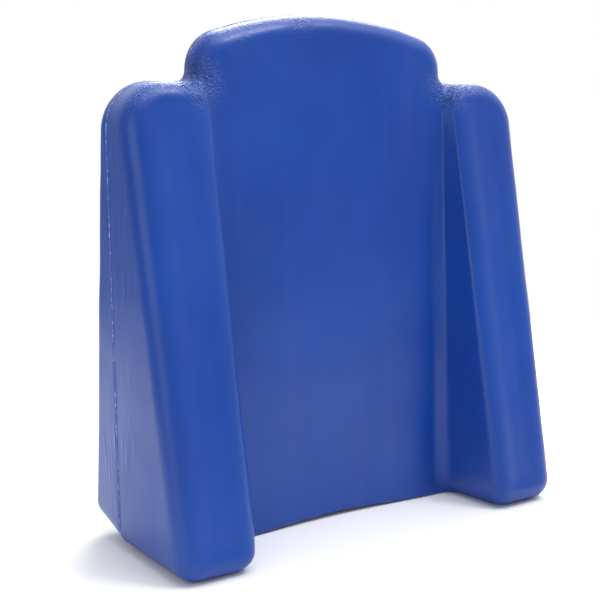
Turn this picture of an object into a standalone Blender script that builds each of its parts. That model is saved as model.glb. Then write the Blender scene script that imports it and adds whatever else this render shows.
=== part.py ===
"""A soft kickboard float with a pontoon down each side and a humped nose, standing on its tail.

It is modelled as foam blocks inside two vinyl shells, which are welded together along one line that
runs round the sides and over the nose. +X is to the right, -Y is the front (the side with the
pontoons), and +Z runs from the tail to the nose. All sizes are in metres.
"""

import math

import bmesh
import bpy

# The outline, seen from the front.
LENGTH = 0.400
TAIL_HALF_WIDTH = 0.180
SHOULDER_HALF_WIDTH = 0.183
SHOULDER_HEIGHT = 0.348
TAIL_CORNER = 0.018
SHOULDER_CORNER = 0.0345
HUMP_HALF_WIDTH = 0.1165
HUMP_CORNER = 0.029
HUMP_CORNER_HEIGHT = 0.3785
JUNCTION_FILLET = 0.008

# Depths, measured from the plane in which the two shells meet.
JOINT_Y = 0.02555
BACK_AT_TAIL = 0.0473
BACK_AT_SHOULDER = 0.0120
PONTOON_AT_TAIL = 0.1011
PONTOON_AT_SHOULDER = 0.0285
DECK_AT_TAIL = 0.0345
DECK_AT_NOSE = 0.0170

# The channel between the pontoons: half its floor, and its walls, which have a fillet at the foot
# and a rounded crest, and curve outwards at the tail.
CHANNEL_FOOT = 0.0980
FOOT_FILLET = 0.0130
CREST_FILLET = 0.0110
WALL_LEAN = math.radians(84)
WALL_HEIGHT = PONTOON_AT_TAIL - DECK_AT_TAIL
WALL_STARTS = CHANNEL_FOOT + FOOT_FILLET * math.sin(WALL_LEAN)
WALL_STRAIGHT = WALL_HEIGHT - (FOOT_FILLET + CREST_FILLET) * (1 - math.cos(WALL_LEAN))
WALL_ENDS = WALL_STARTS + WALL_STRAIGHT / math.tan(WALL_LEAN)
CHANNEL_CREST = WALL_ENDS + CREST_FILLET * math.sin(WALL_LEAN)
FLARE = 0.012
FLARE_HEIGHT = 0.024
CHANNEL_TROUGH = 0.0040
TAIL_ARCH = 0.0030
TAIL_RISE = 0.0150
TAIL_ZONE = 0.060

# Edges, shell and foam.
EDGE_RADIUS = 0.0145
TAIL_EDGE_RADIUS = 0.0022
THIN_EDGE_SHARE = 0.85
SKIN = 0.0015
GAP = 0.0003
CORE_CLEARANCE = 0.0009
CORE_SPLIT = 0.0960
EDGE_STEPS = 4
FILLET_STEPS = 4
FLOOR_COLUMNS = (0.03, 0.06, 0.085)
ROWS = (0.012, 0.024, 0.06, 0.13, 0.20, 0.27, 0.33)
SLOPE_STEP = 0.00001
LEAN_ZONE = 0.060

# The weld bead that stands on the line where the shells meet.
BEAD_HALF_WIDTH = 0.0013
BEAD_HEIGHT = 0.0009
BEAD_CLEARANCE = 0.00006
BEAD_STARTS_AT = 0.0035

VINYL = (0.045, 0.085, 0.370, 1.0)
FOAM = (0.720, 0.730, 0.700, 1.0)
WELD = (0.120, 0.170, 0.470, 1.0)


def arc(centre, radius, start, end, steps, outwards=1.0):
    """Points of an arc in the X-Z plane, each with the outline's outward normal."""
    found = []
    for step in range(steps + 1):
        angle = math.radians(start + (end - start) * step / steps)
        away = (math.cos(angle), math.sin(angle))
        at = (centre[0] + radius * away[0], centre[1] + radius * away[1])
        found.append((at, (outwards * away[0], outwards * away[1])))
    return found


def right_outline():
    """The right half of the outline, from the middle of the tail to the top of the nose."""
    rise = LENGTH - HUMP_CORNER_HEIGHT
    crown = (HUMP_HALF_WIDTH**2 + rise**2) / (2 * rise)
    crown_centre = LENGTH - crown
    inset = HUMP_HALF_WIDTH - HUMP_CORNER
    corner_z = crown_centre + math.sqrt((crown - HUMP_CORNER) ** 2 - inset**2)
    turn = math.degrees(math.atan2(corner_z - crown_centre, inset))
    tail = (TAIL_HALF_WIDTH - TAIL_CORNER, TAIL_CORNER)
    shoulder = (SHOULDER_HALF_WIDTH - SHOULDER_CORNER, SHOULDER_HEIGHT - SHOULDER_CORNER)
    junction = (HUMP_HALF_WIDTH + JUNCTION_FILLET, SHOULDER_HEIGHT + JUNCTION_FILLET)
    points = [((x, 0.0), (0.0, -1.0)) for x in [0.0, *columns()]]
    points += arc(tail, TAIL_CORNER, -90, 0, 6)
    points += arc(shoulder, SHOULDER_CORNER, 0, 90, 10)
    points += arc(junction, JUNCTION_FILLET, -90, -180, 4, outwards=-1.0)
    points += arc((inset, corner_z), HUMP_CORNER, 0, turn, 8)
    points += arc((0.0, crown_centre), crown, turn, 90, 10)[1:]
    return points


def outline():
    """The whole outline, anticlockwise from the middle of the tail."""
    right = right_outline()
    left = [((-at[0], at[1]), (-normal[0], normal[1])) for at, normal in right[-2:0:-1]]
    return right + left


def columns():
    """Where the front face bends, right of the middle: on the channel's floor and in its wall."""
    turns = [WALL_LEAN * step / FILLET_STEPS for step in range(FILLET_STEPS + 1)]
    foot = [CHANNEL_FOOT + FOOT_FILLET * math.sin(turn) for turn in turns]
    crest = [CHANNEL_CREST - CREST_FILLET * math.sin(turn) for turn in turns]
    return [*FLOOR_COLUMNS, *foot, *crest[::-1]]


def blend(low, high, value):
    """A smooth step from 0 at low to 1 at high."""
    share = min(max((value - low) / (high - low), 0.0), 1.0)
    return share * share * (3 - 2 * share)


def bowl(x):
    """1 on the middle of the channel, falling to 0 at its sides."""
    share = min(abs(x) / CHANNEL_FOOT, 1.0)
    return (1 - share * share) ** 2


def wall_share(x):
    """How far the channel's wall has risen at x: 0 on the floor and 1 on a pontoon's front."""
    x = abs(x)
    if x <= CHANNEL_FOOT:
        return 0.0
    if x >= CHANNEL_CREST:
        return 1.0
    if x < WALL_STARTS:
        rise = FOOT_FILLET - math.sqrt(FOOT_FILLET**2 - (x - CHANNEL_FOOT) ** 2)
    elif x > WALL_ENDS:
        fall = CREST_FILLET - math.sqrt(CREST_FILLET**2 - (CHANNEL_CREST - x) ** 2)
        rise = WALL_HEIGHT - fall
    else:
        rise = FOOT_FILLET * (1 - math.cos(WALL_LEAN)) + (x - WALL_STARTS) * math.tan(WALL_LEAN)
    return rise / WALL_HEIGHT


def flare(x, z):
    """How far a point of the channel is moved outwards, because its walls curve at the tail."""
    turn = min(max(1 - z / FLARE_HEIGHT, 0.0), 1.0)
    reach = FLARE * (1 - math.sqrt(1 - turn * turn))
    edge = TAIL_HALF_WIDTH - TAIL_CORNER
    if abs(x) < CHANNEL_FOOT:
        share = (x / CHANNEL_FOOT) ** 2
    else:
        share = min(max((edge - abs(x)) / (edge - CHANNEL_CREST), 0.0), 1.0)
    return math.copysign(reach * share, x)


def front_depth(x, z):
    """How far the front surface stands forward of the joint plane."""
    deck = DECK_AT_TAIL + (DECK_AT_NOSE - DECK_AT_TAIL) * z / LENGTH
    taper = (PONTOON_AT_SHOULDER - PONTOON_AT_TAIL) / SHOULDER_HEIGHT
    pontoon = PONTOON_AT_TAIL + taper * z
    deck -= CHANNEL_TROUGH * bowl(x) * (1 - 0.6 * z / LENGTH)
    return deck + (pontoon - deck) * wall_share(x)


def front_lean(x, z):
    """How far the front surface leans where it climbs to the right, fading out at the shoulders."""
    rise = front_depth(x + SLOPE_STEP, z) - front_depth(x - SLOPE_STEP, z)
    fade = min(max((SHOULDER_HEIGHT - z) / LEAN_ZONE, 0.0), 1.0)
    return fade * math.atan2(rise, 2 * SLOPE_STEP)


def back_depth(z):
    """How far the back surface stands behind the joint plane."""
    return BACK_AT_TAIL + (BACK_AT_SHOULDER - BACK_AT_TAIL) * z / SHOULDER_HEIGHT


def edge_radius(x, z, nz, front):
    """How round the board's edge is at (x, z), where nz is how far the outline faces upwards."""
    full = blend(-1.0, -0.3, nz)
    if front:
        full = max(full, wall_share(x))
    radius = TAIL_EDGE_RADIUS + (EDGE_RADIUS - TAIL_EDGE_RADIUS) * full
    return radius if front else min(radius, THIN_EDGE_SHARE * back_depth(z))


def place(vertex, layers, front, inset, turn):
    """Move one vertex of the face sheet's edge to its place on the board's rounded edge.

    inset is how far this surface lies inside the board's own, and turn goes from 0 on the flat
    face to 90 degrees on the side wall.
    """
    cap_x, cap_z, nx, nz, radius = (vertex[layer] for layer in layers)
    depth = front_depth(cap_x, cap_z) if front else back_depth(cap_z)
    lean = front_lean(cap_x, cap_z) if front else 0.0
    bend = max(radius - inset, 0.0004)
    beyond = radius - inset - bend * (1 - math.sin(turn))
    out = depth - inset * math.cos(lean) - bend * (1 - math.cos(turn))
    x = cap_x + nx * beyond + inset * math.sin(lean)
    if front:
        x += flare(cap_x, cap_z + nz * radius * math.sin(turn))
    set_point(vertex, x, cap_z + nz * beyond, out, front, depth)


def set_point(vertex, x, z, out, front, depth):
    """Put a vertex out metres from the joint plane, with the tail's arch and rear rise."""
    lift = TAIL_ARCH * bowl(x)
    if not front:
        lift += TAIL_RISE * max(out, 0.0) / depth
    z += lift * max(1 - z / TAIL_ZONE, 0.0)
    vertex.co = (x, JOINT_Y - out if front else JOINT_Y + out, z)


def face_sheet(front):
    """The flat part of one face, inside its rounded edge, split where it has to bend."""
    bm = bmesh.new()
    names = ("cap_x", "cap_z", "nx", "nz", "radius")
    layers = [bm.verts.layers.float.new(name) for name in names]
    ring = []
    for (x, z), (nx, nz) in outline():
        radius = edge_radius(x, z, nz, front)
        vertex = bm.verts.new((x - nx * radius, 0.0, z - nz * radius))
        for layer, value in zip(layers[2:], (nx, nz, radius)):
            vertex[layer] = value
        ring.append(vertex)
    bm.faces.new(ring)
    right = columns() if front else []
    cuts = [((x, 0, 0), (1, 0, 0)) for x in [*[-x for x in right], 0.0, *right]]
    cuts += [((0, 0, z), (0, 0, 1)) for z in ROWS]
    for point, normal in cuts:
        parts = bm.verts[:] + bm.edges[:] + bm.faces[:]
        bmesh.ops.bisect_plane(bm, geom=parts, plane_co=point, plane_no=normal, dist=1e-7)
    for vertex in bm.verts:
        vertex[layers[0]] = vertex.co.x
        vertex[layers[1]] = vertex.co.z
        if not vertex.is_boundary:
            for layer in layers[2:]:
                vertex[layer] = 0.0
    bmesh.ops.triangulate(bm, faces=bm.faces)
    return bm, layers


def rim_of(bm):
    """The edges round the open side of a half."""
    return [edge for edge in bm.edges if edge.is_boundary]


def add_ring(bm, rim):
    """Extrude the rim once and give back the new rim."""
    made = bmesh.ops.extrude_edge_only(bm, edges=rim)["geom"]
    vertices = [item for item in made if isinstance(item, bmesh.types.BMVert)]
    return rim_of(bm), vertices


def half(front, inset, short=0.0):
    """One open half of the board: its face, its rounded edge and its wall up to the joint plane."""
    bm, layers = face_sheet(front)
    for vertex in bm.verts:
        place(vertex, layers, front, inset, 0.0)
    rim = rim_of(bm)
    for step in range(1, EDGE_STEPS + 1):
        rim, vertices = add_ring(bm, rim)
        for vertex in vertices:
            place(vertex, layers, front, inset, math.radians(90 * step / EDGE_STEPS))
    _, vertices = add_ring(bm, rim)
    for vertex in vertices:
        x, z, nx, nz, radius = (vertex[layer] for layer in layers)
        beyond = radius - inset
        across = x + nx * beyond
        if front:
            across += flare(x, z + nz * radius)
        set_point(vertex, across, z + nz * beyond, short, front, 1.0)
    bmesh.ops.triangulate(bm, faces=bm.faces, quad_method="FIXED")
    return bm, rim_of(bm)


def join(target, other):
    """Copy all of one bmesh into another."""
    mesh = bpy.data.meshes.new("joined")
    other.to_mesh(mesh)
    other.free()
    target.from_mesh(mesh)
    bpy.data.meshes.remove(mesh)


def material(name, colour, roughness):
    """A plain Principled material."""
    made = bpy.data.materials.new(name)
    made.use_nodes = True
    shader = made.node_tree.nodes["Principled BSDF"]
    shader.inputs["Base Color"].default_value = colour
    shader.inputs["Roughness"].default_value = roughness
    made.diffuse_color = colour
    return made


def finish(bm, name, finish_of, parent):
    """Turn a closed bmesh into a named sub-part with its own material."""
    bmesh.ops.recalc_face_normals(bm, faces=bm.faces)
    mesh = bpy.data.meshes.new(name)
    bm.to_mesh(mesh)
    bm.free()
    made = bpy.data.objects.new(name, mesh)
    bpy.context.scene.collection.objects.link(made)
    mesh.materials.append(finish_of)
    made.parent = parent
    return made


def skin(front):
    """A vinyl shell: an outer and an inner half, bridged at the rim that is welded."""
    outer, _ = half(front, 0.0)
    inner, _ = half(front, SKIN)
    bmesh.ops.reverse_faces(inner, faces=inner.faces)
    join(outer, inner)
    bmesh.ops.bridge_loops(outer, edges=rim_of(outer))
    return outer


def core(front):
    """The foam behind one shell, closed on the joint plane."""
    bm, rim = half(front, SKIN + CORE_CLEARANCE, short=GAP / 2)
    bmesh.ops.holes_fill(bm, edges=rim, sides=0)
    return bm


def keep(bm, x, rightwards):
    """Cut a block at an upright plane and keep the foam on one side of it."""
    normal = (-1 if rightwards else 1, 0, 0)
    parts = bm.verts[:] + bm.edges[:] + bm.faces[:]
    bmesh.ops.bisect_plane(
        bm, geom=parts, plane_co=(x, 0, 0), plane_no=normal, dist=1e-7, clear_outer=True
    )
    bmesh.ops.holes_fill(bm, edges=rim_of(bm), sides=0)
    return bm


def bead():
    """The half-round weld bead, from one tail corner over the nose to the other."""
    path = [entry for entry in outline() if entry[0][1] > BEAD_STARTS_AT]
    section = [(BEAD_CLEARANCE, -BEAD_HALF_WIDTH), (BEAD_CLEARANCE, BEAD_HALF_WIDTH)]
    for angle in (36, 72, 108, 144):
        turn = math.radians(angle)
        height = BEAD_CLEARANCE + BEAD_HEIGHT * math.sin(turn)
        section.append((height, BEAD_HALF_WIDTH * math.cos(turn)))
    bm = bmesh.new()
    rings = []
    for (x, z), (nx, nz) in path:
        ring = [bm.verts.new((x + nx * h, JOINT_Y + w, z + nz * h)) for h, w in section]
        pairs = zip(ring, ring[1:] + ring[:1])
        rings.append([bm.edges.new(pair) for pair in pairs])
    for low, high in zip(rings, rings[1:]):
        bmesh.ops.bridge_loops(bm, edges=low + high)
    bmesh.ops.holes_fill(bm, edges=rim_of(bm), sides=0)
    return bm


def main():
    """Clear the scene and build the float."""
    for old in list(bpy.data.objects):
        bpy.data.objects.remove(old)
    board = bpy.data.objects.new("kickboard_float", None)
    bpy.context.scene.collection.objects.link(board)

    vinyl = material("blue vinyl", VINYL, 0.45)
    weld = material("welded vinyl edge", WELD, 0.5)
    foam = material("closed-cell foam", FOAM, 0.9)

    finish(skin(front=True), "front_skin", vinyl, board)
    finish(skin(front=False), "rear_skin", vinyl, board)
    finish(bead(), "seam_bead", weld, board)
    finish(core(front=False), "rear_core", foam, board)

    clear = CORE_SPLIT + GAP / 2
    deck = keep(keep(core(front=True), clear - GAP, False), GAP - clear, True)
    finish(deck, "deck_core", foam, board)
    finish(keep(core(front=True), -clear, False), "left_pontoon_core", foam, board)
    finish(keep(core(front=True), clear, True), "right_pontoon_core", foam, board)


main()
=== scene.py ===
"""Visual model of a foam kickboard float in a blue vinyl skin, standing on its tail.

The float has a pontoon down each side, a shallow channel between them and a humped nose. Two vinyl
shells meet at a weld line that runs up both sides and over the nose. All sizes are in metres, in
the frame of the CAD model: +X to the right, -Y towards the pontoon side and +Z towards the nose.
"""

import logging
import math
from collections.abc import Sequence
from dataclasses import dataclass, field
from enum import Enum

import bmesh
import bpy
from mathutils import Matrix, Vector, noise


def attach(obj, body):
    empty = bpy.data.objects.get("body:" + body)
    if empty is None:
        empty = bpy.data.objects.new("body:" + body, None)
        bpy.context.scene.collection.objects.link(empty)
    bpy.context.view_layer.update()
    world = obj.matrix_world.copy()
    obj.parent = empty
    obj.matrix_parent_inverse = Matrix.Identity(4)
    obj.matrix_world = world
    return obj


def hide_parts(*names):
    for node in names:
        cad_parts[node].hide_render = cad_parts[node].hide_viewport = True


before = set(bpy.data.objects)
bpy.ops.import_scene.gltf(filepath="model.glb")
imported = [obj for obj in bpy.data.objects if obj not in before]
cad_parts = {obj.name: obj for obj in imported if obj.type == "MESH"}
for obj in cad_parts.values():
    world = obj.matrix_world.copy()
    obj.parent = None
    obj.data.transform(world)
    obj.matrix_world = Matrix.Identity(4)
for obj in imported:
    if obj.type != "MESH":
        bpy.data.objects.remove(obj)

LOG = logging.getLogger("kickboard_float")
BODY = "root"

OutlinePoint = tuple[tuple[float, float], tuple[float, float]]
Socket = bpy.types.NodeSocket


class Half(Enum):
    """The two halves that the weld line divides the float into."""

    FRONT = "front"
    REAR = "rear"


def smooth_step(low: float, high: float, value: float) -> float:
    """Blend from 0 to 1.

    Args:
        low: Value at and below which the blend is 0.
        high: Value at and above which the blend is 1.
        value: Where to read the blend.

    Returns:
        A share from 0 to 1 with level ends.
    """
    share = min(max((value - low) / (high - low), 0.0), 1.0)
    return share * share * (3 - 2 * share)


def linear(hex_colour: str) -> tuple[float, float, float, float]:
    """Turn an sRGB hex colour into the linear colour that shaders use.

    Args:
        hex_colour: Six hex digits, with or without a leading hash.

    Returns:
        Linear red, green and blue, and an alpha of 1.
    """
    digits = hex_colour.lstrip("#")
    channels = [int(digits[at : at + 2], 16) / 255 for at in (0, 2, 4)]
    curve = [c / 12.92 if c <= 0.04045 else ((c + 0.055) / 1.055) ** 2.4 for c in channels]
    return (curve[0], curve[1], curve[2], 1.0)


# ---------------------------------------------------------------------------
# Materials
# ---------------------------------------------------------------------------


class NodeSheet:
    """The node tree of a material or a world, with one way to add a node."""

    def __init__(self, owner: bpy.types.Material | bpy.types.World) -> None:
        """Switch the owner's nodes on.

        Args:
            owner: The material or world.
        """
        owner.use_nodes = True
        self.tree = owner.node_tree
        main = "Background" if isinstance(owner, bpy.types.World) else "Principled BSDF"
        self.shader = self.tree.nodes[main]

    def add(
        self,
        kind: str,
        settings: dict[str, object] | None = None,
        inputs: dict[str | int, object] | None = None,
    ) -> bpy.types.Node:
        """Add a node.

        Args:
            kind: The node's type, such as ShaderNodeTexNoise.
            settings: Properties of the node itself.
            inputs: What each input takes: a socket to link, or a plain value.

        Returns:
            The new node.
        """
        node = self.tree.nodes.new(kind)
        for key, value in (settings or {}).items():
            setattr(node, key, value)
        for key, value in (inputs or {}).items():
            if isinstance(value, Socket):
                self.tree.links.new(value, node.inputs[key])
            else:
                node.inputs[key].default_value = value
        return node


@dataclass(frozen=True)
class DippedVinyl:
    """Royal-blue plasticised vinyl, dip-coated over foam.

    It gives an even, saturated blue with a soft gloss, a fine orange peel, faint streaks where the
    coat ran before it set, and leather-like crinkles where the skin is bent most. Its colour also
    holds a whitish painted highlight on the tops, mixed with real scuffs, and a painted pale sheen
    low down on the side faces.
    """

    name: str = "dip-coated blue vinyl"
    body_hex: str = "05409A"
    deep_hex: str = "033A92"
    streak_hex: str = "34429A"
    # Whitish colour of a painted highlight, mixed with real scuffs.
    rub_and_highlight_hex: str = "B9C6EA"
    nick_hex: str = "122C66"
    # Pale colour of a painted sheen on the side faces.
    side_sheen_hex: str = "C3C8E2"
    roughness: float = 0.35
    ior: float = 1.47
    peel_mm: float = 2.2
    crinkle_mm: float = 3.0
    streak_mm: float = 16.0
    nick_gap_mm: float = 60.0

    def build(self) -> bpy.types.Material:
        """Make the material.

        Returns:
            The material.
        """
        material = bpy.data.materials.new(self.name)
        sheet = NodeSheet(material)
        add, link = sheet.add, sheet.tree.links.new
        where = add("ShaderNodeTexCoord").outputs["Object"]
        # This mask and its speckle paint a whitish highlight on the upward tops, the junction corners
        # and a little of the side faces, mixed with real scuffs.
        rub_and_highlight = add("ShaderNodeAttribute", {"attribute_name": "rub_and_highlight"}).outputs["Fac"]
        scuff = add(
            "ShaderNodeTexNoise",
            None,
            {"Vector": where, "Scale": 620.0, "Detail": 4.0, "Roughness": 0.7},
        ).outputs["Fac"]
        speckle = add(
            "ShaderNodeMapRange", {"interpolation_type": "SMOOTHSTEP"}, {0: scuff, 1: 0.45, 2: 0.72}
        ).outputs["Result"]
        rubbed = add(
            "ShaderNodeMath", {"operation": "MULTIPLY"}, {0: speckle, 1: rub_and_highlight}
        ).outputs[0]

        link(self.colour(sheet, where, rubbed), sheet.shader.inputs["Base Color"])
        link(self.relief(sheet, where), sheet.shader.inputs["Normal"])
        cloud = add(
            "ShaderNodeTexNoise", None, {"Vector": where, "Scale": 14.0, "Detail": 2.0}
        ).outputs["Fac"]
        gloss = add(
            "ShaderNodeMapRange",
            {"interpolation_type": "SMOOTHSTEP"},
            {0: cloud, 1: 0.3, 2: 0.7, 3: self.roughness - 0.04, 4: self.roughness + 0.04},
        ).outputs["Result"]
        link(gloss, sheet.shader.inputs["Roughness"])
        sheet.shader.inputs["IOR"].default_value = self.ior
        return material

    def colour(self, sheet: NodeSheet, where: Socket, rubbed: Socket) -> Socket:
        """Mix the pigment with its streaks and nicks, a painted side sheen and a painted highlight.

        Args:
            sheet: The material's nodes.
            where: Object coordinates.
            rubbed: How much the surface is whitened by a painted highlight, mixed with real scuffs.

        Returns:
            The colour.
        """
        add = sheet.add
        cloud = add(
            "ShaderNodeTexNoise", None, {"Vector": where, "Scale": 9.0, "Detail": 3.0}
        ).outputs["Fac"]
        uneven = add(
            "ShaderNodeMapRange", {"interpolation_type": "SMOOTHSTEP"}, {0: cloud, 1: 0.35, 2: 0.65}
        ).outputs["Result"]
        pigment = add(
            "ShaderNodeMix",
            {"data_type": "RGBA"},
            {0: uneven, 6: linear(self.body_hex), 7: linear(self.deep_hex)},
        ).outputs[2]

        # The coat ran down while it set, so its streaks are long and upright.
        across = 1000 / self.streak_mm
        run = add(
            "ShaderNodeMapping", None, {"Vector": where, "Scale": (across, across, across / 14)}
        ).outputs["Vector"]
        stripe = add(
            "ShaderNodeTexNoise", None, {"Vector": run, "Scale": 1.0, "Detail": 2.0}
        ).outputs["Fac"]
        streaked = add(
            "ShaderNodeMapRange",
            {"interpolation_type": "SMOOTHSTEP"},
            {0: stripe, 1: 0.55, 2: 0.75, 3: 0.0, 4: 0.22},
        ).outputs["Result"]
        pigment = add(
            "ShaderNodeMix",
            {"data_type": "RGBA"},
            {0: streaked, 6: pigment, 7: linear(self.streak_hex)},
        ).outputs[2]

        # A few nicks, a millimetre or so wide and several centimetres apart.
        spot = add(
            "ShaderNodeTexVoronoi", None, {"Vector": where, "Scale": 1000 / self.nick_gap_mm}
        ).outputs["Distance"]
        nicked = add(
            "ShaderNodeMapRange",
            {"interpolation_type": "SMOOTHSTEP"},
            {0: spot, 1: 0.008, 2: 0.020, 3: 0.75, 4: 0.0},
        ).outputs["Result"]
        pigment = add(
            "ShaderNodeMix",
            {"data_type": "RGBA"},
            {0: nicked, 6: pigment, 7: linear(self.nick_hex)},
        ).outputs[2]
        # Painted sheen: the side faces turn paler low down and towards the back, standing in for
        # bounced light.
        side_sheen = add("ShaderNodeAttribute", {"attribute_name": "side_sheen"}).outputs["Fac"]
        pigment = add(
            "ShaderNodeMix",
            {"data_type": "RGBA"},
            {0: side_sheen, 6: pigment, 7: linear(self.side_sheen_hex)},
        ).outputs[2]
        # Painted highlight, mixed with real scuffs: the speckled mask whitens the tops and corners.
        rub_and_highlight_share = add("ShaderNodeMath", {"operation": "MULTIPLY"}, {0: rubbed, 1: 0.34}).outputs[0]
        return add(
            "ShaderNodeMix",
            {"data_type": "RGBA"},
            {0: rub_and_highlight_share, 6: pigment, 7: linear(self.rub_and_highlight_hex)},
        ).outputs[2]

    def relief(self, sheet: NodeSheet, where: Socket) -> Socket:
        """Lay the orange peel, the crinkles and the creases on each other.

        Args:
            sheet: The material's nodes.
            where: Object coordinates.

        Returns:
            The bumped normal.
        """
        add = sheet.add
        peel = add(
            "ShaderNodeTexNoise",
            None,
            {"Vector": where, "Scale": 1000 / self.peel_mm, "Detail": 2.0},
        ).outputs["Fac"]
        peeled = add(
            "ShaderNodeBump", None, {"Strength": 0.5, "Distance": 0.00008, "Height": peel}
        ).outputs["Normal"]

        # Leather-like crinkles: warped cells, where the shells say that the skin is crinkled.
        bend = add(
            "ShaderNodeTexNoise", None, {"Vector": where, "Scale": 150.0, "Detail": 3.0}
        ).outputs["Color"]
        warped = add(
            "ShaderNodeMix", {"data_type": "VECTOR"}, {0: 0.010, 4: where, 5: bend}
        ).outputs[1]
        cells = add(
            "ShaderNodeTexVoronoi",
            {"feature": "DISTANCE_TO_EDGE"},
            {"Vector": warped, "Scale": 1000 / self.crinkle_mm},
        ).outputs["Distance"]
        pillow = add(
            "ShaderNodeMapRange", {"interpolation_type": "SMOOTHSTEP"}, {0: cells, 1: 0.0, 2: 0.3}
        ).outputs["Result"]
        zone = add("ShaderNodeAttribute", {"attribute_name": "crinkled"}).outputs["Fac"]
        crinkled = add(
            "ShaderNodeBump",
            None,
            {"Strength": zone, "Distance": 0.0005, "Height": pillow, "Normal": peeled},
        ).outputs["Normal"]

        # Slanting creases, where a shell was stretched over its foam beside the weld.
        slant = add(
            "ShaderNodeMapping",
            None,
            {"Vector": where, "Rotation": (math.radians(24), 0, 0), "Scale": (40.0, 170.0, 26.0)},
        ).outputs["Vector"]
        fold = add(
            "ShaderNodeTexNoise", {"noise_type": "RIDGED_MULTIFRACTAL"}, {"Vector": slant, "Scale": 1.0}
        ).outputs["Fac"]
        stretched = add("ShaderNodeAttribute", {"attribute_name": "creased"}).outputs["Fac"]
        return add(
            "ShaderNodeBump",
            None,
            {"Strength": stretched, "Distance": 0.0012, "Height": fold, "Normal": crinkled},
        ).outputs["Normal"]


@dataclass(frozen=True)
class WeldedVinyl:
    """The squeezed-out edge of a heat weld.

    It is the same blue vinyl, stretched paler and dull, with whitish scuffs where it stands proud.
    """

    name: str = "heat-welded vinyl edge"
    body_hex: str = "465FB2"
    scuff_hex: str = "B4BEE2"
    roughness: float = 0.55
    ior: float = 1.53
    scuff_mm: float = 3.0

    def build(self) -> bpy.types.Material:
        """Make the material.

        Returns:
            The material.
        """
        material = bpy.data.materials.new(self.name)
        sheet = NodeSheet(material)
        add, link = sheet.add, sheet.tree.links.new
        where = add("ShaderNodeTexCoord").outputs["Object"]
        scuff = add(
            "ShaderNodeTexNoise",
            None,
            {"Vector": where, "Scale": 1000 / self.scuff_mm, "Detail": 4.0, "Roughness": 0.65},
        ).outputs["Fac"]
        rubbed = add(
            "ShaderNodeMapRange", {"interpolation_type": "SMOOTHSTEP"}, {0: scuff, 1: 0.48, 2: 0.72}
        ).outputs["Result"]
        colour = add(
            "ShaderNodeMix",
            {"data_type": "RGBA"},
            {0: rubbed, 6: linear(self.body_hex), 7: linear(self.scuff_hex)},
        ).outputs[2]
        bump = add(
            "ShaderNodeBump", None, {"Strength": 0.5, "Distance": 0.0002, "Height": scuff}
        ).outputs["Normal"]
        link(colour, sheet.shader.inputs["Base Color"])
        link(bump, sheet.shader.inputs["Normal"])
        sheet.shader.inputs["Roughness"].default_value = self.roughness
        sheet.shader.inputs["IOR"].default_value = self.ior
        return material


@dataclass(frozen=True)
class ClosedCellFoam:
    """Off-white closed-cell foam, sawn from a block: matt, with cut cells a millimetre wide, painted
    darker in their hollows as shade.
    """

    name: str = "closed-cell foam"
    body_hex: str = "DADAD2"
    # Darker colour of the painted shade inside each cell.
    cell_shade_hex: str = "C4C4BB"
    roughness: float = 0.92
    ior: float = 1.49
    cell_mm: float = 1.2

    def build(self) -> bpy.types.Material:
        """Make the material.

        Returns:
            The material.
        """
        material = bpy.data.materials.new(self.name)
        sheet = NodeSheet(material)
        add, link = sheet.add, sheet.tree.links.new
        where = add("ShaderNodeTexCoord").outputs["Object"]
        cells = add(
            "ShaderNodeTexVoronoi",
            {"feature": "DISTANCE_TO_EDGE"},
            {"Vector": where, "Scale": 1000 / self.cell_mm},
        ).outputs["Distance"]
        # Painted shade: the middle of each cut cell, its hollow, is mixed toward the darker colour.
        walls = add("ShaderNodeMapRange", None, {0: cells, 1: 0.05, 2: 0.4}).outputs["Result"]
        colour = add(
            "ShaderNodeMix",
            {"data_type": "RGBA"},
            {0: walls, 6: linear(self.body_hex), 7: linear(self.cell_shade_hex)},
        ).outputs[2]
        bump = add(
            "ShaderNodeBump",
            {"invert": True},
            {"Strength": 0.4, "Distance": 0.0002, "Height": cells},
        ).outputs["Normal"]
        link(colour, sheet.shader.inputs["Base Color"])
        link(bump, sheet.shader.inputs["Normal"])
        sheet.shader.inputs["Roughness"].default_value = self.roughness
        sheet.shader.inputs["IOR"].default_value = self.ior
        return material


@dataclass(frozen=True)
class StudioPaper:
    """Matt white background paper that the float stands on."""

    name: str = "white studio paper"
    body_hex: str = "F6F6F6"
    roughness: float = 0.9

    def build(self) -> bpy.types.Material:
        """Make the material.

        Returns:
            The material.
        """
        material = bpy.data.materials.new(self.name)
        shader = NodeSheet(material).shader
        shader.inputs["Base Color"].default_value = linear(self.body_hex)
        shader.inputs["Roughness"].default_value = self.roughness
        return material


# ---------------------------------------------------------------------------
# The float's shape
# ---------------------------------------------------------------------------


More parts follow.
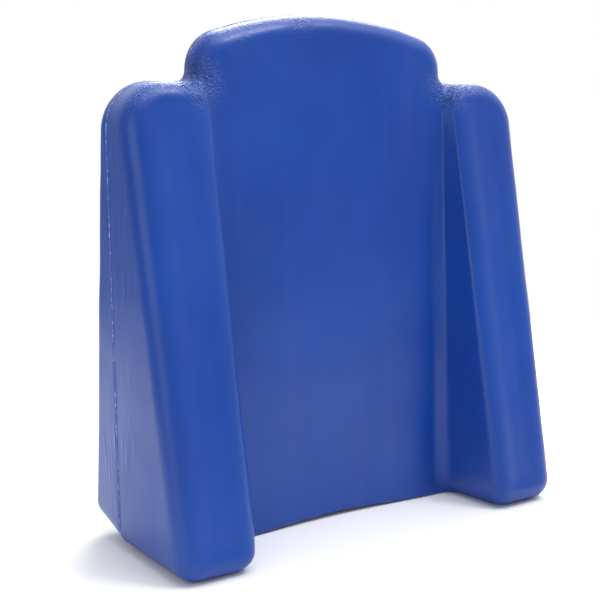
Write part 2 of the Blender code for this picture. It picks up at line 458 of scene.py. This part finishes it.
@dataclass(frozen=True)
class BoardShape:
    """The float's sizes, and the surfaces that they describe."""

    length: float = 0.400
    tail_half_width: float = 0.180
    shoulder_half_width: float = 0.183
    shoulder_height: float = 0.348
    tail_corner: float = 0.018
    shoulder_corner: float = 0.0345
    hump_half_width: float = 0.1165
    hump_corner: float = 0.029
    hump_corner_height: float = 0.3785
    junction_fillet: float = 0.008
    joint_y: float = 0.02555
    back_at_tail: float = 0.0473
    back_at_shoulder: float = 0.0120
    pontoon_at_tail: float = 0.1011
    pontoon_at_shoulder: float = 0.0285
    deck_at_tail: float = 0.0345
    deck_at_nose: float = 0.0170
    channel_foot: float = 0.0980
    foot_fillet: float = 0.0130
    crest_fillet: float = 0.0110
    wall_lean: float = math.radians(84)
    flare: float = 0.012
    flare_height: float = 0.024
    channel_trough: float = 0.0040
    tail_arch: float = 0.0030
    tail_rise: float = 0.0150
    tail_zone: float = 0.060
    edge_radius: float = 0.0145
    rear_edge_radius: float = 0.0085
    tail_edge_radius: float = 0.0022
    thin_edge_share: float = 0.85

    @property
    def wall_height(self) -> float:
        """Return how far the channel's wall rises at the tail."""
        return self.pontoon_at_tail - self.deck_at_tail

    @property
    def wall_starts(self) -> float:
        """Return where the straight part of the channel's wall starts."""
        return self.channel_foot + self.foot_fillet * math.sin(self.wall_lean)

    @property
    def wall_ends(self) -> float:
        """Return where the straight part of the channel's wall ends."""
        fillets = (self.foot_fillet + self.crest_fillet) * (1 - math.cos(self.wall_lean))
        return self.wall_starts + (self.wall_height - fillets) / math.tan(self.wall_lean)

    @property
    def channel_crest(self) -> float:
        """Return where the channel's wall has become the pontoon's front."""
        return self.wall_ends + self.crest_fillet * math.sin(self.wall_lean)

    def columns(self, pitch: float) -> list[float]:
        """Find where the front face is cut, right of the middle, to bend well.

        Args:
            pitch: Distance between cuts where the face is nearly flat.

        Returns:
            Places across the float, from the middle outwards.
        """
        turns = spread(0.0, self.wall_lean, self.wall_lean / 9)
        floor = spread(0.0, self.channel_foot, pitch)[:-1]
        foot = [self.channel_foot + self.foot_fillet * math.sin(turn) for turn in turns]
        wall = spread(self.wall_starts, self.wall_ends, 0.0005)[1:-1]
        crest = [self.channel_crest - self.crest_fillet * math.sin(turn) for turn in turns]
        front = spread(self.channel_crest, self.shoulder_half_width, pitch)[1:-1]
        return [*floor, *foot, *wall, *crest[::-1], *front]

    @staticmethod
    def arc(
        centre: tuple[float, float],
        radius: float,
        start: float,
        end: float,
        steps: int,
        outwards: float = 1.0,
    ) -> list[OutlinePoint]:
        """Walk along an arc in the X-Z plane.

        Args:
            centre: The arc's centre.
            radius: Its radius.
            start: Its first angle, in degrees.
            end: Its last angle, in degrees.
            steps: How many straight steps it is made of.
            outwards: 1 where the body is inside the arc, and -1 where it is outside.

        Returns:
            Points, each with the body's outward normal.
        """
        found: list[OutlinePoint] = []
        for turn in spread(math.radians(start), math.radians(end), math.radians((end - start) / steps)):
            away = (math.cos(turn), math.sin(turn))
            at = (centre[0] + radius * away[0], centre[1] + radius * away[1])
            found.append((at, (outwards * away[0], outwards * away[1])))
        return found

    def right_outline(self) -> list[OutlinePoint]:
        """Walk up the right half of the outline.

        Returns:
            Points from the middle of the tail to the top of the nose.
        """
        rise = self.length - self.hump_corner_height
        crown = (self.hump_half_width**2 + rise**2) / (2 * rise)
        crown_centre = self.length - crown
        inset = self.hump_half_width - self.hump_corner
        corner_z = crown_centre + math.sqrt((crown - self.hump_corner) ** 2 - inset**2)
        turn = math.degrees(math.atan2(corner_z - crown_centre, inset))
        tail = (self.tail_half_width - self.tail_corner, self.tail_corner)
        shoulder = (
            self.shoulder_half_width - self.shoulder_corner,
            self.shoulder_height - self.shoulder_corner,
        )
        junction = (
            self.hump_half_width + self.junction_fillet,
            self.shoulder_height + self.junction_fillet,
        )
        flat = [x for x in self.columns(0.01) if x < tail[0]]
        points: list[OutlinePoint] = [((x, 0.0), (0.0, -1.0)) for x in flat]
        points += self.arc(tail, self.tail_corner, -90, 0, 14)
        points += self.arc(shoulder, self.shoulder_corner, 0, 90, 20)
        points += self.arc(junction, self.junction_fillet, -90, -180, 10, outwards=-1.0)
        points += self.arc((inset, corner_z), self.hump_corner, 0, turn, 18)
        points += self.arc((0.0, crown_centre), crown, turn, 90, 24)[1:]
        return points

    def outline(self) -> list[OutlinePoint]:
        """Walk round the whole outline, anticlockwise from the middle of the tail.

        Returns:
            Points, each with its outward normal.
        """
        right = self.right_outline()
        left = [((-at[0], at[1]), (-normal[0], normal[1])) for at, normal in right[-2:0:-1]]
        return right + left

    def bowl(self, x: float) -> float:
        """Find how deep the channel's trough is at one place across it.

        Args:
            x: Place across the float.

        Returns:
            1 in the middle of the channel, falling to 0 at its sides.
        """
        share = min(abs(x) / self.channel_foot, 1.0)
        return (1 - share * share) ** 2

    def wall_share(self, x: float) -> float:
        """Find how far the channel's wall has risen.

        Args:
            x: Place across the float.

        Returns:
            0 on the channel's floor and 1 on a pontoon's front.
        """
        x = abs(x)
        if x <= self.channel_foot:
            return 0.0
        if x >= self.channel_crest:
            return 1.0
        if x < self.wall_starts:
            rise = self.foot_fillet - math.sqrt(self.foot_fillet**2 - (x - self.channel_foot) ** 2)
        elif x > self.wall_ends:
            inwards = self.channel_crest - x
            fall = self.crest_fillet - math.sqrt(self.crest_fillet**2 - inwards**2)
            rise = self.wall_height - fall
        else:
            rise = self.foot_fillet * (1 - math.cos(self.wall_lean))
            rise += (x - self.wall_starts) * math.tan(self.wall_lean)
        return rise / self.wall_height

    def flare_at(self, x: float, z: float) -> float:
        """Find how far a point of the channel moves outwards, because its walls curve at the tail.

        Args:
            x: Place across the float before the move.
            z: Height.

        Returns:
            The move along X.
        """
        turn = min(max(1 - z / self.flare_height, 0.0), 1.0)
        reach = self.flare * (1 - math.sqrt(1 - turn * turn))
        edge = self.tail_half_width - self.tail_corner
        if abs(x) < self.channel_foot:
            share = (x / self.channel_foot) ** 2
        else:
            share = min(max((edge - abs(x)) / (edge - self.channel_crest), 0.0), 1.0)
        return math.copysign(reach * share, x)

    def front_depth(self, x: float, z: float) -> float:
        """Find how far the front surface stands forward of the weld line's plane.

        Args:
            x: Place across the float, before the flare.
            z: Height.

        Returns:
            The depth.
        """
        deck = self.deck_at_tail + (self.deck_at_nose - self.deck_at_tail) * z / self.length
        taper = (self.pontoon_at_shoulder - self.pontoon_at_tail) / self.shoulder_height
        pontoon = self.pontoon_at_tail + taper * z
        deck -= self.channel_trough * self.bowl(x) * (1 - 0.6 * z / self.length)
        return deck + (pontoon - deck) * self.wall_share(x)

    def back_depth(self, z: float) -> float:
        """Find how far the back surface stands behind the weld line's plane.

        Args:
            z: Height.

        Returns:
            The depth.
        """
        slope = (self.back_at_shoulder - self.back_at_tail) / self.shoulder_height
        return self.back_at_tail + slope * z

    def edge_radius_at(self, x: float, z: float, nz: float, half: Half) -> float:
        """Find how round the float's edge is at one point of the outline.

        Args:
            x: Place across the float.
            z: Height.
            nz: The upward part of the outline's normal there.
            half: Which half's edge it is.

        Returns:
            The radius.
        """
        full = smooth_step(-1.0, -0.3, nz)
        if half is Half.FRONT:
            full = max(full, self.wall_share(x))
            return self.tail_edge_radius + (self.edge_radius - self.tail_edge_radius) * full
        radius = self.tail_edge_radius + (self.rear_edge_radius - self.tail_edge_radius) * full
        return min(radius, self.thin_edge_share * self.back_depth(z))

    def point(self, x: float, z: float, out: float, depth: float, half: Half) -> Vector:
        """Find a point of the float from where it is on the outline's plane.

        Args:
            x: Place across the float.
            z: Height before the tail's arch and the rise of its rear edge.
            out: Distance from the weld line's plane.
            depth: That half's full depth there.
            half: Which half it is in.

        Returns:
            The point.
        """
        lift = self.tail_arch * self.bowl(x)
        if half is Half.REAR:
            lift += self.tail_rise * max(out, 0.0) / depth
        z += lift * max(1 - z / self.tail_zone, 0.0)
        return Vector((x, self.joint_y - out if half is Half.FRONT else self.joint_y + out, z))


def spread(low: float, high: float, pitch: float) -> list[float]:
    """Space values evenly.

    Args:
        low: The first value.
        high: The last value.
        pitch: About how far apart they are, with the sign of high - low.

    Returns:
        The values, with both ends.
    """
    count = max(round((high - low) / pitch), 1)
    return [low + (high - low) * step / count for step in range(count + 1)]


def finished_piece(bm: bmesh.types.BMesh, name: str, finish: bpy.types.Material) -> bpy.types.Object:
    """Turn a bmesh into a smooth-shaded object with one material.

    Args:
        bm: The shape, which is freed.
        name: The object's name.
        finish: Its material.

    Returns:
        The object, linked to the scene.
    """
    mesh = bpy.data.meshes.new(name)
    for face in bm.faces:
        face.smooth = True
    bm.to_mesh(mesh)
    bm.free()
    mesh.materials.append(finish)
    piece = bpy.data.objects.new(name, mesh)
    bpy.context.scene.collection.objects.link(piece)
    return piece


@dataclass
class Shell:
    """One vinyl shell: a fine skin over the foam, with the dips and swells of a soft board."""

    shape: BoardShape
    half: Half
    finish: bpy.types.Material
    pitch: float = 0.0034
    edge_steps: int = 12
    side_pitch: float = 0.005
    thickness: float = 0.0014
    panel_sink: float = 0.0013
    panel_edge: float = 0.012
    swell: float = 0.00045
    ripple: float = 0.00006

    LAYERS = ("cap_x", "cap_z", "nx", "nz", "radius", "rub_and_highlight", "crinkled", "creased", "still", "side_sheen")

    def build(self) -> bpy.types.Object:
        """Make the shell and dress it.

        Returns:
            The finished piece.
        """
        bm = self.form()
        self.soften(bm)
        self.mark(bm)
        name = f"{self.half.value}_shell"
        piece = finished_piece(bm, name, self.finish)
        wall = piece.modifiers.new("skin thickness", "SOLIDIFY")
        wall.thickness = self.thickness
        wall.offset = -1.0
        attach(piece, BODY)
        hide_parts(f"{self.half.value}_skin")
        return piece

    def columns(self) -> list[float]:
        """Find where the face is cut across its width.

        Returns:
            Places across the float, from left to right.
        """
        edge = self.shape.shoulder_half_width
        if self.half is Half.REAR:
            return spread(-edge, edge, self.pitch)[1:-1]
        right = self.shape.columns(self.pitch)
        return [-x for x in right[:0:-1]] + right

    def cut(self, bm: bmesh.types.BMesh, along: int, places: Sequence[float]) -> None:
        """Cut every face of a flat sheet at climbing places.

        Args:
            bm: The sheet, in the X-Z plane.
            along: 0 to cut across X, 2 to cut across Z.
            places: Where to cut, from low to high.
        """
        normal = Vector((0, 0, 0))
        normal[along] = 1.0
        beyond = bm.faces[:]
        for place in places:
            geometry = {item for face in beyond for item in (face, *face.edges, *face.verts)}
            made = bmesh.ops.bisect_plane(
                bm, geom=list(geometry), plane_co=normal * place, plane_no=normal, dist=1e-7
            )
            faces = [item for item in made["geom"] if isinstance(item, bmesh.types.BMFace)]
            beyond = [face for face in faces if face.calc_center_bounds()[along] > place]

    def sheet(self) -> tuple[bmesh.types.BMesh, list[bmesh.types.BMLayerItem]]:
        """Cut the flat part of the face, inside its rounded edge, into small cells.

        Returns:
            The sheet, and the layers that hold each point's place on the outline.
        """
        bm = bmesh.new()
        layers = [bm.verts.layers.float.new(name) for name in self.LAYERS]
        ring = []
        for (x, z), (nx, nz) in self.shape.outline():
            radius = self.shape.edge_radius_at(x, z, nz, self.half)
            corner = bm.verts.new((x - nx * radius, 0.0, z - nz * radius))
            for layer, value in zip(layers[2:], (nx, nz, radius)):
                corner[layer] = value
            ring.append(corner)
        bm.faces.new(ring)
        self.cut(bm, 0, self.columns())
        self.cut(bm, 2, spread(0.0, self.shape.length, self.pitch)[1:-1])
        for vertex in bm.verts:
            vertex[layers[0]] = vertex.co.x
            vertex[layers[1]] = vertex.co.z
            if vertex.is_boundary:
                length = math.hypot(vertex[layers[2]], vertex[layers[3]])
                vertex[layers[2]] /= length
                vertex[layers[3]] /= length
            else:
                for layer in layers[2:5]:
                    vertex[layer] = 0.0
        return bm, layers

    def rest(
        self,
        vertex: bmesh.types.BMVert,
        layers: Sequence[bmesh.types.BMLayerItem],
        turn: float,
        drop: float,
    ) -> None:
        """Move a point of the sheet to its place on the rounded edge or the side wall.

        Args:
            vertex: The point.
            layers: The layers that hold its place on the outline.
            turn: 0 on the flat face, and half pi on the side wall.
            drop: 0 at the top of the side wall, and 1 on the weld line.
        """
        x, z, nx, nz, radius = (vertex[layer] for layer in layers[:5])
        front = self.half is Half.FRONT
        depth = self.shape.front_depth(x, z) if front else self.shape.back_depth(z)
        beyond = radius * math.sin(turn)
        out = (depth - radius * (1 - math.cos(turn))) * (1 - drop)
        across = x + nx * beyond
        height = z + nz * beyond
        if front:
            across += self.shape.flare_at(x, height)
        vertex.co = self.shape.point(across, height, out, depth, self.half)
        vertex[layers[8]] = max(smooth_step(0.6, 1.0, drop), smooth_step(0.5, 1.0, -nz))

    def form(self) -> bmesh.types.BMesh:
        """Raise the sheet into an open half: face, rounded edge and side wall.

        Returns:
            The half, open at the weld line, with its faces pointing outwards.
        """
        bm, layers = self.sheet()
        for vertex in bm.verts:
            self.rest(vertex, layers, 0.0, 0.0)
        for turn in spread(0.0, math.pi / 2, math.pi / 2 / self.edge_steps)[1:]:
            for vertex in self.grow(bm):
                self.rest(vertex, layers, turn, 0.0)
        deepest = self.shape.pontoon_at_tail if self.half is Half.FRONT else self.shape.back_at_tail
        for drop in spread(0.0, 1.0, self.side_pitch / deepest)[1:]:
            for vertex in self.grow(bm):
                self.rest(vertex, layers, math.pi / 2, drop)
        bmesh.ops.recalc_face_normals(bm, faces=bm.faces)
        facing = sum(face.normal.y * face.calc_area() for face in bm.faces)
        if (facing < 0) is not (self.half is Half.FRONT):
            bmesh.ops.reverse_faces(bm, faces=bm.faces)
        bm.normal_update()
        return bm

    def grow(self, bm: bmesh.types.BMesh) -> list[bmesh.types.BMVert]:
        """Extrude the open rim once.

        Args:
            bm: The half.

        Returns:
            The new points.
        """
        rim = [edge for edge in bm.edges if edge.is_boundary]
        made = bmesh.ops.extrude_edge_only(bm, edges=rim)["geom"]
        return [item for item in made if isinstance(item, bmesh.types.BMVert)]

    def panel(self, at: Vector) -> float:
        """Find how much a point belongs to a pontoon's slightly sunken front panel.

        Args:
            at: The point.

        Returns:
            1 on the panel and 0 off it.
        """
        shape, soft = self.shape, self.panel_edge
        x = abs(at.x)
        inner = shape.channel_crest + 0.001
        outer = shape.tail_half_width - shape.edge_radius - 0.002
        across = smooth_step(inner, inner + soft, x) * (1 - smooth_step(outer - soft, outer, x))
        foot = smooth_step(0.012, 0.012 + soft, at.z)
        return across * foot * (1 - smooth_step(0.300, 0.335, at.z))

    def soften(self, bm: bmesh.types.BMesh) -> None:
        """Give the shell the slow dips and swells of foam that was shaped and coated by hand.

        Args:
            bm: The half, with its normals up to date.
        """
        still = bm.verts.layers.float["still"]
        moves = []
        for vertex in bm.verts:
            at = vertex.co
            slow = noise.fractal(at * 21.0, 1.0, 2.0, 2, noise_basis="PERLIN_ORIGINAL")
            quick = noise.noise(at * 150.0, noise_basis="PERLIN_ORIGINAL")
            lift = self.swell * slow + self.ripple * quick
            if self.half is Half.FRONT and vertex.normal.y < -0.5:
                lift -= self.panel_sink * self.panel(at)
            moves.append(vertex.normal * lift * (1 - vertex[still]))
        for vertex, move in zip(bm.verts, moves):
            vertex.co += move
            vertex.co.z = max(vertex.co.z, 0.0)

    def mark(self, bm: bmesh.types.BMesh) -> None:
        """Note where the skin is crinkled or creased, and where the material paints a highlight, mixed
        with real scuffs, and a pale side sheen.

        Args:
            bm: The finished half.
        """
        shape = self.shape
        rub_and_highlight, crinkled, creased, side_sheen = (
            bm.verts.layers.float[name] for name in ("rub_and_highlight", "crinkled", "creased", "side_sheen")
        )
        for vertex in bm.verts:
            at = vertex.co
            patch = smooth_step(0.05, 0.35, noise.noise(at * 26.0, noise_basis="PERLIN_ORIGINAL"))
            upwards = smooth_step(0.25, 0.85, vertex.normal.z)
            junction = math.hypot(abs(at.x) - shape.hump_half_width, at.z - shape.shoulder_height)
            corner = 1 - smooth_step(0.008, 0.030, junction)
            nose = smooth_step(0.330, 0.385, at.z)
            side = smooth_step(0.80, 0.98, abs(vertex.normal.x))
            beside_weld = 1 - smooth_step(0.010, 0.045, abs(at.y - shape.joint_y))
            # Painted highlight, mixed with real scuffs: the upward tops, the junction corners and a
            # little of the side faces are whitened.
            top = upwards * (1.0 if at.z < shape.shoulder_height + 0.001 else 0.35)
            vertex[rub_and_highlight] = min(top + 0.35 * corner + 0.05 * side, 1.0)
            # Painted sheen: the side faces are marked paler low down and towards the back, where
            # bounced light falls.
            low = (1 - smooth_step(-0.05, 0.36, at.z)) ** 2
            behind = smooth_step(-0.02, 0.06, at.y)
            vertex[side_sheen] = side * 0.16 * low * (0.1 + behind)
            vertex[crinkled] = min(0.8 * corner + 0.35 * upwards + 0.28 * nose * patch, 1.0)
            vertex[creased] = side * beside_weld * (0.25 + 0.75 * patch)


@dataclass
class WeldBead:
    """The thin, uneven bead that stands on the weld line, up both sides and over the nose."""

    shape: BoardShape
    finish: bpy.types.Material
    half_width: float = 0.0007
    height: float = 0.00055
    sunk: float = 0.0002
    pitch: float = 0.0018
    starts_at: float = 0.0030
    section_steps: int = 7

    def path(self) -> list[OutlinePoint]:
        """Walk round the outline in small steps, from one tail corner over the nose to the other.

        Returns:
            Points, each with its outward normal.
        """
        corners = [entry for entry in self.shape.outline() if entry[0][1] > self.starts_at]
        found: list[OutlinePoint] = []
        for (a, na), (b, nb) in zip(corners, corners[1:]):
            for share in spread(0.0, 1.0, self.pitch / math.dist(a, b))[:-1]:
                at = (a[0] + (b[0] - a[0]) * share, a[1] + (b[1] - a[1]) * share)
                normal = Vector(na).lerp(Vector(nb), share).normalized()
                found.append((at, (normal.x, normal.y)))
        return [*found, corners[-1]]

    def spot(self, entry: OutlinePoint, step: int) -> Vector:
        """Find one point of the bead, whose section varies along the weld.

        Args:
            entry: Where the bead has got to.
            step: Which point of the section.

        Returns:
            The point.
        """
        (x, z), (nx, nz) = entry
        along = Vector((x, 0.0, z))
        uneven = noise.noise(along * 95.0, noise_basis="PERLIN_ORIGINAL")
        wander = noise.noise(along * 30.0 + Vector((7, 0, 0)), noise_basis="PERLIN_ORIGINAL")
        turn = math.pi * step / (self.section_steps - 1)
        height = self.height * (1 + 0.45 * uneven) * math.sin(turn) - self.sunk
        across = self.half_width * (1 + 0.25 * uneven) * math.cos(turn) + 0.0003 * wander
        return Vector((x + nx * height, self.shape.joint_y - across, z + nz * height))

    def build(self) -> bpy.types.Object:
        """Make the bead and dress it.

        Returns:
            The finished piece.
        """
        path = self.path()
        bm = bmesh.new()
        station = bm.verts.layers.int.new("station")
        line = [bm.verts.new(self.spot(entry, 0)) for entry in path]
        for number, vertex in enumerate(line):
            vertex[station] = number
        first = [bm.edges.new(pair) for pair in zip(line, line[1:])]
        strand = first
        for step in range(1, self.section_steps):
            made = bmesh.ops.extrude_edge_only(bm, edges=strand)["geom"]
            fresh = {item for item in made if isinstance(item, bmesh.types.BMVert)}
            for vertex in fresh:
                vertex.co = self.spot(path[vertex[station]], step)
            edges = [item for item in made if isinstance(item, bmesh.types.BMEdge)]
            strand = [edge for edge in edges if fresh.issuperset(edge.verts)]
        bmesh.ops.bridge_loops(bm, edges=first + strand)
        bmesh.ops.holes_fill(bm, edges=[edge for edge in bm.edges if edge.is_boundary], sides=0)
        bmesh.ops.recalc_face_normals(bm, faces=bm.faces)
        piece = finished_piece(bm, "weld_bead", self.finish)
        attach(piece, BODY)
        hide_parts("seam_bead")
        return piece


@dataclass
class FoamCores:
    """The foam blocks inside the shells, which are carried over from the CAD model."""

    finish: bpy.types.Material
    nodes: tuple[str, ...] = ("rear_core", "deck_core", "left_pontoon_core", "right_pontoon_core")

    def dress(self) -> None:
        """Give each block the foam material."""
        for name in self.nodes:
            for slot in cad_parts[name].material_slots:
                slot.material = self.finish


# ---------------------------------------------------------------------------
# Studio
# ---------------------------------------------------------------------------


@dataclass(frozen=True)
class SoftLight:
    """One large soft light."""

    name: str
    place: tuple[float, float, float]
    aim: tuple[float, float, float]
    size: float
    power: float

    def build(self) -> None:
        """Hang the light and point it at its aim."""
        data = bpy.data.lights.new(self.name, "AREA")
        data.shape = "DISK"
        data.size = self.size
        data.energy = self.power
        lamp = bpy.data.objects.new(self.name, data)
        lamp.location = self.place
        aim = Vector(self.aim) - Vector(self.place)
        lamp.rotation_euler = aim.to_track_quat("-Z", "Y").to_euler()
        bpy.context.scene.collection.objects.link(lamp)


@dataclass(frozen=True)
class StudioSky:
    """White walls that are bright behind and above the float and dim in front of it."""

    name: str = "studio walls"
    towards: tuple[float, float, float] = (0.55, 0.35, 0.76)
    bright: float = 1.25
    dim: float = 0.44
    seen: float = 1.0

    def build(self) -> None:
        """Make the world and hang it round the scene."""
        world = bpy.data.worlds.new(self.name)
        sheet = NodeSheet(world)
        add = sheet.add
        direction = add("ShaderNodeTexCoord").outputs["Generated"]
        facing = add(
            "ShaderNodeVectorMath", {"operation": "DOT_PRODUCT"}, {0: direction, 1: self.towards}
        ).outputs["Value"]
        strength = add(
            "ShaderNodeMapRange",
            {"interpolation_type": "SMOOTHSTEP"},
            {0: facing, 1: 0.0, 2: 0.9, 3: self.dim, 4: self.bright},
        ).outputs["Result"]
        looked_at = add("ShaderNodeLightPath").outputs["Is Camera Ray"]
        shown = add("ShaderNodeMix", None, {0: looked_at, 2: strength, 3: self.seen}).outputs[0]
        sheet.shader.inputs["Color"].default_value = (1.0, 1.0, 1.0, 1.0)
        sheet.tree.links.new(shown, sheet.shader.inputs["Strength"])
        bpy.context.scene.world = world


@dataclass(frozen=True)
class ViewPoint:
    """Where the camera stands: low, left of the float's front, with a short telephoto lens."""

    azimuth: float = 34.9
    distance: float = 0.9659
    height: float = 0.3324
    centre_y: float = 0.02555
    turn: float = 34.1
    pitch: float = 9.3
    lens: float = 72.12

    def build(self) -> None:
        """Set the camera up and make it the scene's."""
        data = bpy.data.cameras.new("camera")
        data.lens = self.lens
        data.sensor_width = 36.0
        data.clip_end = 50.0
        camera = bpy.data.objects.new("camera", data)
        around = math.radians(self.azimuth)
        camera.location = (
            -self.distance * math.sin(around),
            self.centre_y - self.distance * math.cos(around),
            self.height,
        )
        camera.rotation_euler = (math.radians(90 - self.pitch), 0.0, -math.radians(self.turn))
        bpy.context.scene.collection.objects.link(camera)
        bpy.context.scene.camera = camera


@dataclass
class Studio:
    """A white floor under soft light, seen with plain display colours."""

    paper: bpy.types.Material
    view: ViewPoint = field(default_factory=ViewPoint)
    sky: StudioSky = field(default_factory=StudioSky)
    floor_radius: float = 0.95
    floor_drop: float = 0.0003
    lights: tuple[SoftLight, ...] = (
        SoftLight("top light", (0.12, -0.35, 1.65), (0.0, 0.0, 0.2), 1.2, 9.0),
        SoftLight("key light", (0.55, -0.65, 1.50), (-0.1, 0.0, 0.3), 0.45, 7.0),
        SoftLight("left light", (-1.3, -0.7, 0.6), (0.0, 0.0, 0.2), 1.2, 4.5),
        SoftLight("rim light", (0.70, 1.0, 1.35), (0.0, 0.0, 0.3), 0.9, 18.0),
    )

    def build(self) -> None:
        """Lay the floor, light it and set the camera up."""
        bm = bmesh.new()
        bmesh.ops.create_circle(bm, cap_ends=True, segments=96, radius=self.floor_radius)
        bmesh.ops.translate(bm, verts=bm.verts, vec=(0, 0, -self.floor_drop))
        floor = finished_piece(bm, "studio_floor", self.paper)
        self.sky.build()
        for light in self.lights:
            light.build()
        self.view.build()
        bpy.context.scene.view_settings.view_transform = "Standard"


def main() -> None:
    """Build the float and its studio."""
    logging.basicConfig(level=logging.INFO, format="%(message)s")
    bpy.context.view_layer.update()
    shape = BoardShape()
    vinyl = DippedVinyl().build()
    for half in Half:
        piece = Shell(shape, half, vinyl).build()
        LOG.info("%s: %d faces", piece.name, len(piece.data.polygons))
    bead = WeldBead(shape, WeldedVinyl().build()).build()
    LOG.info("%s: %d faces", bead.name, len(bead.data.polygons))
    FoamCores(ClosedCellFoam().build()).dress()
    LOG.info("foam blocks dressed")
    Studio(StudioPaper().build()).build()
    LOG.info("studio built")
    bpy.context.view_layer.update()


if __name__ == "__main__":
    main()
